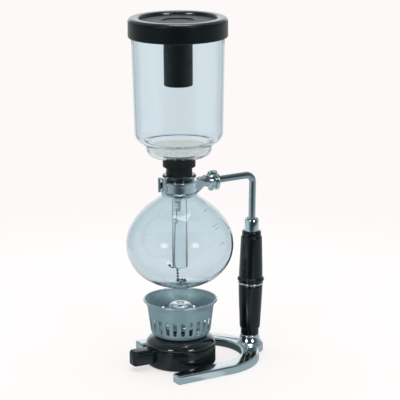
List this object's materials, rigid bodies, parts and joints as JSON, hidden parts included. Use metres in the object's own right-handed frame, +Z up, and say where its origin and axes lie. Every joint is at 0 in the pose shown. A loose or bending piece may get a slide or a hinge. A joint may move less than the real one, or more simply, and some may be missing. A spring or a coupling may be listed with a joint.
{
  "type": "siphon coffee maker",
  "caption": "Table-top siphon coffee maker: a lidded glass funnel with a sprung cloth filter stands in a glass bulb clamped to a handled stand, over a spirit lamp with a slotted wind guard.",
  "frame": {"origin": "on the axis of the bulb and funnel, at table level, at the centre of the lamp's underside", "axes": "+Z up along the glass axis, +X towards the handle, -X out of the open side of the horseshoe base"},
  "size_m": [0.1434, 0.1178, 0.336],
  "materials": {
    "chrome": "polished",
    "steel": "satin",
    "black_plastic": "gloss",
    "glass": "clear",
    "rubber": "matte",
    "cloth": "matte",
    "aluminium": "matte",
    "cotton": "matte"
  },
  "bodies": {
    "stand": {"base_frame": "chrome", "base_nut": "steel", "handle_rod": "steel", "lower_grip": "black_plastic", "grip_ring": "chrome", "upper_grip": "black_plastic", "ferrule": "chrome", "arm_pipe": "chrome", "arm_flange": "chrome", "clamp_screw": "steel", "clamp_front": "chrome", "clamp_back": "chrome", "retaining_wire": "steel", "lower_bulb": "glass"},
    "wing_nut": {"wing_nut": "chrome"},
    "funnel": {"funnel": "glass", "gasket": "rubber", "filter_plate": "steel", "filter_cloth": "cloth", "filter_rivet": "steel", "filter_spring": "steel"},
    "filter_pull": {"pull_wire": "steel", "hook": "steel", "bead_chain": "steel"},
    "lid": {"lid": "black_plastic"},
    "lamp": {"lamp_holder": "black_plastic", "lamp_vessel": "glass", "vessel_seal": "rubber"},
    "wind_guard": {"wind_guard": "aluminium"},
    "wick_holder": {"wick_holder": "chrome", "wick_tube": "steel"},
    "wick": {"wick": "cotton"}
  },
  "joints": [
    {"name": "wing_nut_turn", "type": "hinge", "parent": "stand", "child": "wing_nut", "pos_m": [0, 0, 0.1758], "axis": [0.9998, 0, 0.0209], "continuous": true},
    {"name": "funnel_lift", "type": "slide", "parent": "stand", "child": "funnel", "axis": [0, 0, 1], "range_m": [0, 0.12]},
    {"name": "lid_lift", "type": "slide", "parent": "funnel", "child": "lid", "axis": [0, 0, 1], "range_m": [0, 0.07]},
    {"name": "filter_pull", "type": "slide", "parent": "funnel", "child": "filter_pull", "axis": [0, 0, -1], "range_m": [0, 0.003], "stiffness_N_per_m": 50, "springref_m": -0.002, "deforming": ["filter_spring", "bead_chain"]},
    {"name": "lamp_slide", "type": "slide", "parent": "stand", "child": "lamp", "axis": [-1, 0, 0], "range_m": [0, 0.12]},
    {"name": "guard_lift", "type": "slide", "parent": "lamp", "child": "wind_guard", "axis": [0, 0, 1], "range_m": [0, 0.012]},
    {"name": "wick_holder_lift", "type": "slide", "parent": "lamp", "child": "wick_holder", "axis": [0, 0, 1], "range_m": [0, 0.012]},
    {"name": "wick_raise", "type": "slide", "parent": "wick_holder", "child": "wick", "axis": [0, 0, 1], "range_m": [0, 0.004]}
  ]
}
